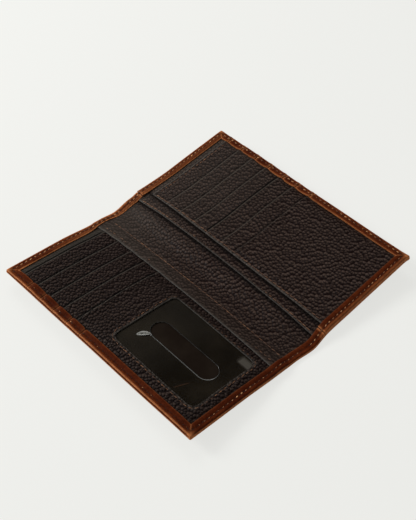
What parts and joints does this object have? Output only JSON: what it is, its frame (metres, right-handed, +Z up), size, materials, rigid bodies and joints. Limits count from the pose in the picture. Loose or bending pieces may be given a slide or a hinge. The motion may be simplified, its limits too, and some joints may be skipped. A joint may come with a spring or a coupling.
{
  "type": "rodeo wallet",
  "caption": "Long bifold leather wallet lying open: turned hem, card pockets, clear-window pocket and long bill pockets.",
  "frame": {"origin": "under the middle of the spine, on the surface that the open wallet lies on (centre of the bounding box's bottom)", "axes": "+Z up, out of the inside of the open wallet; Y along the spine, +Y towards the end where the card mouths face; X across the spine, +X towards the half with the two long bill pockets"},
  "size_m": [0.199, 0.178, 0.0176],
  "materials": {
    "cover_leather": "smooth cognac pull-up leather, satin",
    "pebble_leather": "dark brown leather with a pebble grain, soft sheen",
    "backing_leather": "dark brown leather, finer grain, matte",
    "id_sheet": "thin dark sheet behind the window",
    "window_film": "clear soft vinyl, slightly hazy"
  },
  "bodies": {
    "spine": {"cover_spine": "cover_leather", "centre_panel_spine": "pebble_leather"},
    "left_half": {"cover_left": "cover_leather", "left_backing_panel": "backing_leather", "left_card_leaf_1": "pebble_leather", "left_card_leaf_2": "pebble_leather", "left_card_leaf_3": "pebble_leather", "left_card_leaf_4": "pebble_leather", "id_back_sheet": "id_sheet", "id_window_film": "window_film", "id_window_panel": "pebble_leather", "centre_panel_left": "pebble_leather"},
    "right_half": {"cover_right": "cover_leather", "centre_panel_right": "pebble_leather", "bill_divider": "pebble_leather", "right_card_backing": "pebble_leather", "right_card_leaf_1": "pebble_leather", "right_card_leaf_2": "pebble_leather", "right_card_leaf_3": "pebble_leather", "right_card_leaf_4": "pebble_leather", "right_card_leaf_5": "pebble_leather", "right_slip_panel": "pebble_leather"}
  },
  "joints": [
    {"name": "left_fold", "type": "hinge", "parent": "spine", "child": "left_half", "pos_m": [-0.00652, 0, 0.0011], "axis": [0, 1, 0], "range_deg": [-5.6, 84.4]},
    {"name": "right_fold", "type": "hinge", "parent": "spine", "child": "right_half", "pos_m": [0.00652, 0, 0.0011], "axis": [0, -1, 0], "range_deg": [-6.8, 83.2]}
  ]
}
